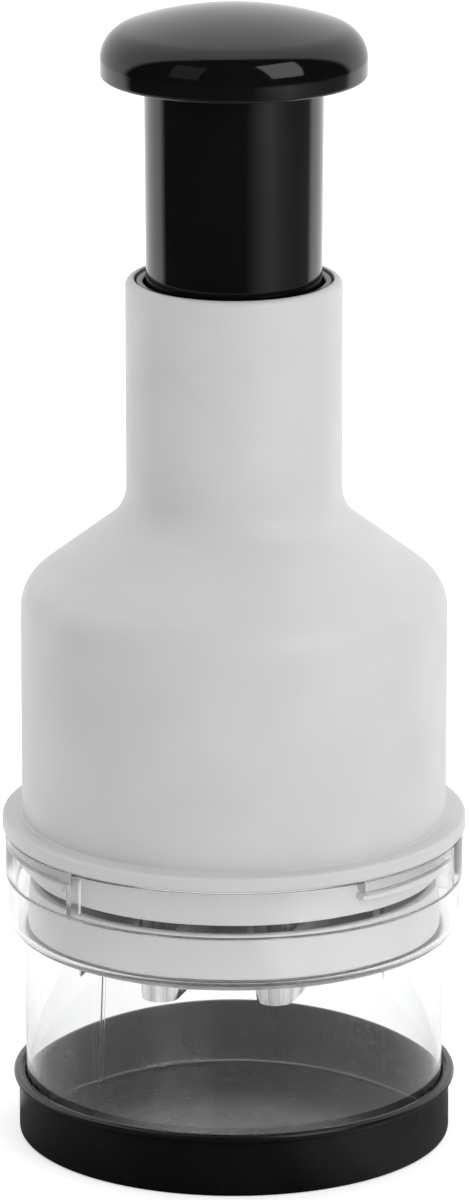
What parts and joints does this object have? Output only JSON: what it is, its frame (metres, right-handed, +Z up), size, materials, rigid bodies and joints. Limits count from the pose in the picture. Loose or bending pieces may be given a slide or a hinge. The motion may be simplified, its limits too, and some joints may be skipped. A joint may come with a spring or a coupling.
{
  "type": "onion chopper",
  "caption": "Push-down onion chopper: domed knob and sprung plunger in a white housing, turning zigzag blades, scraper basket, clear chamber and black base cup.",
  "frame": {"origin": "centre of the base cup's underside, where the chopper stands", "axes": "+Z up along the axis that everything turns about, -Y towards the side that the picture shows"},
  "size_m": [0.0948, 0.0948, 0.2354],
  "materials": {
    "black_gloss": "gloss",
    "black_satin": "satin",
    "black_inner": "matt moulded",
    "white": "satin moulded",
    "clear": "clear polished",
    "blade_steel": "polished stainless",
    "spring_steel": "drawn",
    "screw_steel": "zinc plated",
    "brass": "turned"
  },
  "bodies": {
    "base": {"base_cup": "black_satin"},
    "chamber": {"chopping_chamber": "clear"},
    "housing": {"housing_shell": "white", "neck_bush": "black_satin", "guide_column": "black_inner", "cam_nut": "brass", "return_spring": "spring_steel", "bridge_screw_1": "screw_steel", "bridge_screw_2": "screw_steel", "bridge_screw_3": "screw_steel"},
    "plunger": {"plunger_tube": "black_gloss", "knob": "black_gloss", "knob_screw_left": "screw_steel", "knob_screw_right": "screw_steel"},
    "rotor": {"drive_spindle": "spring_steel", "swivel_washer": "screw_steel", "swivel_screw": "screw_steel", "blade_carrier": "black_inner", "front_blade": "blade_steel", "rear_blade": "blade_steel", "spindle_screw_1": "screw_steel", "spindle_screw_2": "screw_steel", "spindle_screw_3": "screw_steel"},
    "basket": {"scraper_basket": "white"}
  },
  "joints": [
    {"name": "chamber_lift", "type": "slide", "parent": "base", "child": "chamber", "axis": [0, 0, 1], "range_m": [0, 0.06]},
    {"name": "housing_twist", "type": "hinge", "parent": "chamber", "child": "housing", "pos_m": [0, 0, 0.0652], "axis": [0, 0, 1], "range_deg": [-42, 0]},
    {"name": "plunger_press", "type": "slide", "parent": "housing", "child": "plunger", "axis": [0, 0, -1], "range_m": [0, 0.0361], "stiffness_N_per_m": 300, "springref_m": -0.02, "deforming": ["return_spring"]},
    {"name": "blade_turn", "type": "hinge", "parent": "plunger", "child": "rotor", "pos_m": [0, 0, 0.0909], "axis": [0, 0, 1], "range_deg": [-36, 0]},
    {"name": "basket_turn", "type": "hinge", "parent": "housing", "child": "basket", "pos_m": [0, 0, 0.0454], "axis": [0, 0, 1], "range_deg": [-36, 0]}
  ],
  "couplings": [
    {"joint": "blade_turn", "follows": "plunger_press", "rad_per_m": -17.405},
    {"joint": "basket_turn", "follows": "plunger_press", "rad_per_m": -17.405}
  ]
}
